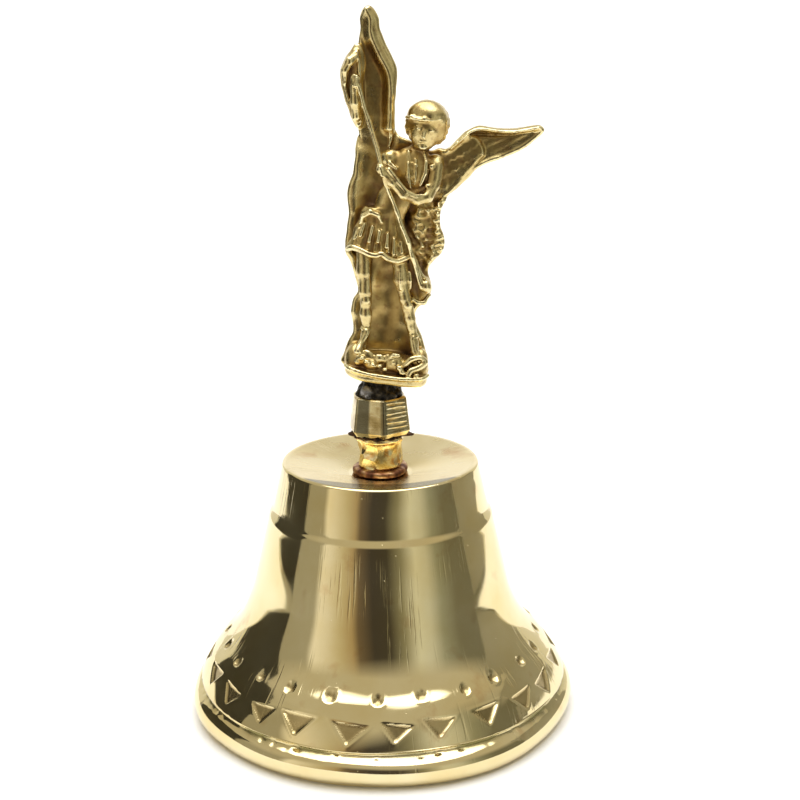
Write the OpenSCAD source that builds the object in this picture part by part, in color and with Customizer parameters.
// Small brass hand bell. A winged figure with a spear stands on the crown as the handle,
// and a ball clapper hangs inside on a ring linkage. Origin: centre of the mouth plane, +Z up,
// the figure faces -Y. All sizes are millimetres.

/* [Bell] */
// Diameter of the mouth, over the lip bead
mouth_d = 64; // [52:0.5:78]
// Height from the mouth to the crown's rim
bell_h = 42.5; // [35:0.5:54]
// Horizontal thickness of the bell wall
wall_t = 2.4; // [1.6:0.1:3]
// Thickness of the crown at its seat
crown_t = 2; // [1.6:0.1:3.2]
// Height of the drum between the step and the crown
drum_h = 8.9; // [6:0.1:12]
// Radius of the bead around the lip
bead_r = 2.6; // [1.8:0.1:3]
// Radius lost between the mouth and the crown's edge
crown_in = 15.9; // [13:0.1:18]
// Depth of the dished crown, from its rim down to the seat
crown_dish = 2.2; // [0.6:0.1:3]

/* [Neck] */
// Diameter of the threaded stud that holds everything together
stud_d = 4.8; // [4:0.1:6]
// Diametral clearance around the stud
stud_fit = 0.1; // [0.04:0.02:0.3]
// Diameter of the seat washer on the crown
seat_d = 9.2; // [8.4:0.1:11]
// Thickness of the seat washer
seat_t = 1.2; // [0.5:0.1:1.6]
// Diameter of the round collar
collar_d = 7.6; // [6.8:0.1:9]
// Height of the round collar
collar_h = 5.2; // [3:0.1:7]
// Thickness of the thin shim washer
shim_t = 0.5; // [0.3:0.1:1]
// Diameter of the thin shim washer
shim_d = 9; // [8.2:0.1:10]
// Height of the hexagonal ferrule
ferrule_h = 6.3; // [4:0.1:9]
// Width over the ferrule's corners at its foot
ferrule_foot_d = 10.6; // [9.8:0.1:11.4]
// Width over the ferrule's corners at its top
ferrule_top_d = 9.2; // [8.6:0.1:10]
// Height of the solder at the stud's axis
solder_h = 2.5; // [1.5:0.1:4]
// Turn of the ferrule's flats about the stud
ferrule_turn = 38; // [0:1:59]

/* [Figure] */
// Lean of the whole figure towards +X
figure_lean = 9; // [0:0.5:12]
// Offset of the figure's foot from the stud
figure_x = 0.9; // [-1:0.1:1.5]
// Width of the plinth
plinth_w = 13; // [11:0.1:15]
// Depth of the plinth
plinth_d = 9; // [8:0.1:11]
// Height of the plinth
plinth_h = 3; // [2:0.1:4]
// Depth of the stud's blind hole in the figure
figure_bore = 4.2; // [3:0.1:4.6]
// Thickness of the cast wings
wing_t = 1.8; // [1:0.1:2.6]
// Diameter of the spear
spear_d = 1; // [0.7:0.1:1.6]
// Diameter of the head with its hair
head_d = 7; // [5.5:0.1:8]

/* [Clapper] */
// Diameter of the clapper ball
ball_d = 13; // [10:0.1:15]
// Height of the ball's centre above the mouth
ball_z = 9; // [8.5:0.1:13]
// Height of each flat filed on the ball, from its centre
ball_flat = 6.1; // [4.6:0.1:6.2]
// Diameter of the clapper's rod
shank_d = 2.4; // [1.8:0.1:3]
// Diameter of the shoulder and of the peened end
peen_d = 3.8; // [3.2:0.1:4.4]
// Height of the shoulder and of the peened end
peen_h = 0.8; // [0.5:0.1:1]
// Wire diameter of the eye and of the rod's loop
loop_wire_d = 1.4; // [1:0.1:1.6]
// Wire diameter of the ring between them
link_wire_d = 1.2; // [0.8:0.1:1.3]
// Radius of the eye, to the middle of its wire
eye_r = 1.9; // [1.8:0.05:2.2]
// Radius of the ring, to the middle of its wire
link_r = 2.3; // [2.3:0.05:3]
// Radius of the rod's loop, to the middle of its wire
loop_r = 1.8; // [1.7:0.05:2]
// Play between one hanging wire and the next
hang_gap = 0.1; // [0.05:0.01:0.2]

/* [Fasteners] */
// Width over the flats of the clamp nut
nut_af = 8; // [7.5:0.1:9]
// Height of the clamp nut
nut_h = 2.4; // [2:0.1:4]
// Diameter of the washer under the nut
washer_d = 11; // [9.6:0.1:13]
// Thickness of the washer under the nut
washer_t = 0.8; // [0.5:0.1:1.2]
// Length of stud that stands past the nut
stud_tail = 0.8; // [0.5:0.1:2]
// Depth of the eye's stem in the stud
eye_stem = 3.5; // [2.5:0.1:5]

/* [Hidden] */
$fn = 96;
eps = 0.01;
curve_steps = 9;
brass = "gold";
old_brass = "darkgoldenrod";
steel = "slategray";
dark_metal = "dimgray";

// heights up the neck, from the seat in the crown's dish
seat_z = bell_h - crown_dish;
collar_z = seat_z + seat_t;
shim_z = collar_z + collar_h;
ferrule_z = shim_z + shim_t;
solder_z = ferrule_z + ferrule_h;
figure_z = solder_z + solder_h;
bore_d = stud_d + stud_fit;

// heights down the fixings under the crown
inner_crown_z = seat_z - crown_t;
washer_z = inner_crown_z - washer_t;
nut_z = washer_z - nut_h;
stud_z = nut_z - stud_tail;
stud_top = figure_z + figure_bore - 0.3;

// the three hanging wires, each resting in the one above
eye_z = stud_z - hang_gap - loop_wire_d / 2 - eye_r;
eye_pivot_z = eye_z - eye_r;
wire_step = (loop_wire_d + link_wire_d) / 2 + hang_gap;
link_z = eye_pivot_z + wire_step - link_r;
link_pivot_z = link_z - link_r;
loop_z = link_pivot_z + wire_step - loop_r;

// bell profile: radii inward from the mouth, heights up from it
mouth_r = mouth_d / 2;
crown_r = mouth_r - crown_in;
step_z = bell_h - drum_h;
step_r = crown_r + 2.4;
groove = [mouth_r - 2, 2 * bead_r + 0.2];
band_foot = [mouth_r - 1.4, groove[1] + 0.5];
band_top = [mouth_r - 5.4, 12];
flare_top = [mouth_r - 10.7, 21.5];
flank_top = [step_r, step_z - 0.3];
drum_foot = [step_r - 0.9, step_z + 1.6];
crown_edge = [crown_r, bell_h - 0.6];
bead_mid = [mouth_r - bead_r, bead_r];
bead_end_a = 65;
ledge_r = 0.5;

function mix(a, b, t) = a + (b - a) * t;
function cubic(a, b, c, d, t) = mix(mix(mix(a, b, t), mix(b, c, t), t),
                                    mix(mix(b, c, t), mix(c, d, t), t), t);
function curve(a, b, c, d) = [for (i = [0:curve_steps]) cubic(a, b, c, d, i / curve_steps)];
function arc(mid, r, a0, a1) = [for (i = [0:curve_steps])
    let (a = mix(a0, a1, i / curve_steps)) mid + r * [cos(a), sin(a)]];
function shifted(points, by) = [for (p = points) p + by];
function reversed(points) = [for (i = [len(points) - 1:-1:0]) points[i]];

band = curve(band_foot, band_foot + [-0.9, 2], band_top + [1.9, -2], band_top);
flare = curve(band_top, band_top + [-2.5, 2.3], flare_top + [1.3, -4.5], flare_top);
flank = [flare_top, mix(flare_top, flank_top, 0.5), flank_top];
step = curve(flank_top, flank_top + [-0.1, 0.9], drum_foot + [0.2, -0.8], drum_foot);
bead = arc(bead_mid, bead_r, -90, bead_end_a);
shoulder = arc([crown_r - ledge_r, bell_h - ledge_r], ledge_r, 10, 80);
wall = [-wall_t, 0];
inner_fillet = arc([crown_r - wall_t - 1.5, inner_crown_z - 1.5], 1.5, 0, 90);
seat_edge_r = seat_d / 2 + 0.4;
dish = [[crown_r - 0.8, bell_h], [seat_edge_r, seat_z]];

module bell_outline() {
    polygon(concat(
        bead, [groove], band, flare, flank, step, [crown_edge], shoulder,
        dish,
        [[0, seat_z], [0, inner_crown_z]], reversed(inner_fillet),
        [drum_foot + wall], [flank_top + wall], reversed(shifted(flare, wall)),
        reversed(shifted(band, wall)), [[band_foot[0] - wall_t - 0.2, 0]]));
}

module stud_hole(z, h) {
    translate([0, 0, z - eps])
        cylinder(d = bore_d, h = h + 2 * eps);
}

module bell_cup() {
    color(brass)
        difference() {
            rotate_extrude($fn = 180)
                bell_outline();
            stud_hole(inner_crown_z, crown_t);
        }
}

module washer(z, d, t) {
    difference() {
        translate([0, 0, z])
            cylinder(d = d, h = t);
        stud_hole(z, t);
    }
}

module seat_washer() {
    color("peru")
        washer(seat_z, seat_d, seat_t);
}

module neck_collar() {
    color(brass)
        washer(collar_z, collar_d, collar_h);
}

module shim_washer() {
    color(dark_metal)
        washer(shim_z, shim_d, shim_t);
}

module inner_washer() {
    color(steel)
        washer(washer_z, washer_d, washer_t);
}

// A tapered hexagonal bush. The low foot is straight, the sides draw in above it.
module ferrule() {
    foot_h = 0.8;
    color(brass)
        difference() {
            translate([0, 0, ferrule_z])
                rotate([0, 0, ferrule_turn]) {
                    cylinder(d = ferrule_foot_d, h = foot_h, $fn = 6);
                    translate([0, 0, foot_h])
                        cylinder(d1 = ferrule_foot_d, d2 = ferrule_top_d, h = ferrule_h - foot_h, $fn = 6);
                }
            stud_hole(ferrule_z, ferrule_h);
        }
}

// Space above the underside of the leaning plinth
module above_plinth_foot() {
    reach = 40;
    translate([figure_x, 0, figure_z])
        rotate([0, figure_lean, 0])
            translate([-reach / 2, -reach / 2, 0])
                cube([reach, reach, reach]);
}

module solder_joint() {
    foot_d = ferrule_top_d - 1.6;
    top_d = stud_d + 1.6;
    color(dark_metal)
        difference() {
            translate([0, 0, solder_z])
                cylinder(d1 = foot_d, d2 = top_d, h = solder_h + 2);
            above_plinth_foot();
            stud_hole(solder_z, solder_h + 2);
        }
}

module handle_stud() {
    color(steel)
        difference() {
            translate([0, 0, stud_z])
                cylinder(d = stud_d, h = stud_top - stud_z);
            translate([0, 0, stud_z - eps])
                cylinder(d = loop_wire_d + stud_fit, h = eye_stem + 0.3);
        }
}

module clamp_nut() {
    corner = 2 / sqrt(3);
    color(old_brass)
        difference() {
            translate([0, 0, nut_z])
                cylinder(d = nut_af * corner, h = nut_h, $fn = 6);
            stud_hole(nut_z, nut_h);
        }
}

module ball_at(p, r) {
    translate(p)
        sphere(r = r, $fn = figure_fn);
}

// Round-ended bar from p to q, of radius r0 at p and r1 at q
module bar(p, q, r0, r1) {
    hull() {
        ball_at(p, r0);
        ball_at(q, r1);
    }
}

// A limb of two bars that share a joint
module limb(a, b, c, ra, rb, rc) {
    bar(a, b, ra, rb);
    bar(b, c, rb, rc);
}

// A flat casting drawn in the XZ plane, its front face at y, t thick towards +Y
module plate(points, y, t) {
    translate([0, y + t, 0])
        rotate([90, 0, 0])
            linear_extrude(height = t)
                polygon(points);
}

// The figure in its own upright frame: foot of the plinth at z = 0, front towards -Y
figure_fn = 14;
back_y = 1;
cloak_t = 2.2;
neck = [0, -0.4, 36.5];
head = [0.4, -0.8, 41];
hips = [-3.6, -0.6, 24];
chest = [-1, -0.6, 34];
left_shoulder = [-5.4, -0.2, 35.5];
left_elbow = [-11.4, -0.6, 39.5];
left_hand = [-12.2, -1.6, 48];
right_shoulder = [2.6, -0.6, 34.6];
right_elbow = [2.2, -2.6, 29.6];
right_hand = [-5, -3.6, 33];
spear_top = [-12.6, -1.8, 50];
spear_foot = [4.2, -3, 14.4];
left_knee = [-4.4, -1.8, 12.6];
left_ankle = [-4.1, -1, 4.6];
right_knee = [2.1, -1.8, 12.4];
right_ankle = [4.2, -1, 4.6];
shoe = [-0.4, -1.8, -0.6];
raised_wing = [[-11, 56.8], [-12.4, 54.5], [-13, 50], [-13.7, 46.5], [-12.6, 42], [-11, 38], [-9, 31],
               [-2, 31], [-2.6, 37], [-4.6, 40.5], [-4.6, 44], [-5.4, 48], [-8, 52.5], [-9.6, 56]];
spread_wing = [[1, 29], [5, 30], [7.4, 32.8], [9.2, 35.6], [12, 37.2], [15, 38.9], [18, 41.6],
               [18.3, 43.2], [14, 42.6], [9, 42.3], [7, 41.4], [4.6, 38.9], [1, 37.5]];
cloak = [[-7, 1], [-7.4, 10], [-8.7, 17.8], [-9.6, 20.5], [-10.4, 28], [-11.2, 35], [-8, 38],
         [-3, 37.5], [4, 37], [5, 30], [4.5, 28.5], [6, 23.8], [4.4, 19.7], [5, 14.6], [3.6, 11.6],
         [5.6, 5], [6, 1]];

module plinth() {
    r = plinth_w / 2 + 0.9;
    intersection() {
        cylinder(r = r, h = plinth_h);
        translate([-plinth_w / 2, -plinth_d / 2, 0])
            cube([plinth_w, plinth_d, plinth_h]);
    }
    translate([0, 0.6, plinth_h - eps])
        cylinder(r1 = 4.6, r2 = 3.4, h = 3);
}

module legs() {
    limb(hips + [-1.2, 0, -3], left_knee, left_ankle, 1.9, 1.4, 1);
    limb(hips + [4, 0, -3], right_knee, right_ankle, 1.9, 1.4, 1);
    bar(left_ankle, left_ankle + shoe, 1, 1.1);
    bar(right_ankle, right_ankle + shoe, 1, 1.1);
}

module body() {
    waist_r = 3.3;
    intersection() {
        union() {
            bar(hips + [0.6, 0, -2], hips, 4.9, 4.2);
            bar(hips, hips + [0.4, 0, 4], 4.2, waist_r);
            bar(hips + [0.4, 0, 4], chest, waist_r, 4);
            bar(chest, neck, 3, 1.6);
        }
        translate([-20, -3.6, hips[2] - 5.4])
            cube([40, 5.2, 60]);
    }
    bar(neck, head, 1.6, 1.6);
    ball_at(head, head_d / 2);
}

module arms() {
    limb(left_shoulder, left_elbow, left_hand, 1.7, 1.3, 0.9);
    ball_at(left_hand, 1.3);
    limb(right_shoulder, right_elbow, right_hand, 1.7, 1.2, 0.9);
    ball_at(right_hand, 1.3);
    bar(spear_foot, spear_top, spear_d / 2, spear_d / 2);
}

// The small beast under the figure's feet, only as a low lump
module beast() {
    ball_at([1.8, -3, 3.8], 1.5);
    bar([2.4, -2.6, 3.4], [5.4, -2.8, 3.6], 1.1, 0.9);
}

module handle_figure() {
    color(brass)
        difference() {
            translate([figure_x, 0, figure_z])
                rotate([0, figure_lean, 0]) {
                    plinth();
                    legs();
                    body();
                    arms();
                    beast();
                    plate(cloak, back_y, cloak_t);
                    plate(raised_wing, back_y + 0.2, wing_t);
                    plate(spread_wing, back_y + 0.2, wing_t);
                }
            translate([0, 0, figure_z - 2])
                cylinder(d = bore_d, h = figure_bore + 2);
        }
}

// Ring of round wire about the Y axis, as an upright eye
module wire_ring(z, r, wire_d, turn) {
    translate([0, 0, z])
        rotate([90, 0, turn])
            rotate_extrude($fn = 64)
                translate([r, 0])
                    circle(d = wire_d, $fn = 32);
}

module clapper_eye() {
    color(steel) {
        wire_ring(eye_z, eye_r, loop_wire_d, 0);
        translate([0, 0, eye_z + eye_r])
            cylinder(d = loop_wire_d, h = stud_z + eye_stem - eye_z - eye_r);
    }
}

module clapper_link() {
    color(steel)
        wire_ring(link_z, link_r, link_wire_d, 90);
}

module clapper_shank() {
    shoulder_z = ball_z + ball_flat;
    peen_z = ball_z - ball_flat - peen_h;
    color(steel) {
        wire_ring(loop_z, loop_r, loop_wire_d, 0);
        translate([0, 0, peen_z])
            cylinder(d = shank_d, h = loop_z - loop_r - peen_z);
        translate([0, 0, shoulder_z])
            cylinder(d = peen_d, h = peen_h);
        translate([0, 0, peen_z])
            cylinder(d1 = shank_d, d2 = peen_d, h = peen_h);
    }
}

module clapper_ball() {
    color(old_brass)
        translate([0, 0, ball_z])
            difference() {
                intersection() {
                    sphere(d = ball_d);
                    cube([ball_d + 1, ball_d + 1, 2 * ball_flat], center = true);
                }
                cylinder(d = shank_d + stud_fit, h = ball_d + 1, center = true);
            }
}

bell_cup();
seat_washer();
neck_collar();
shim_washer();
ferrule();
solder_joint();
handle_stud();
handle_figure();
inner_washer();
clamp_nut();
clapper_eye();
clapper_link();
clapper_shank();
clapper_ball();
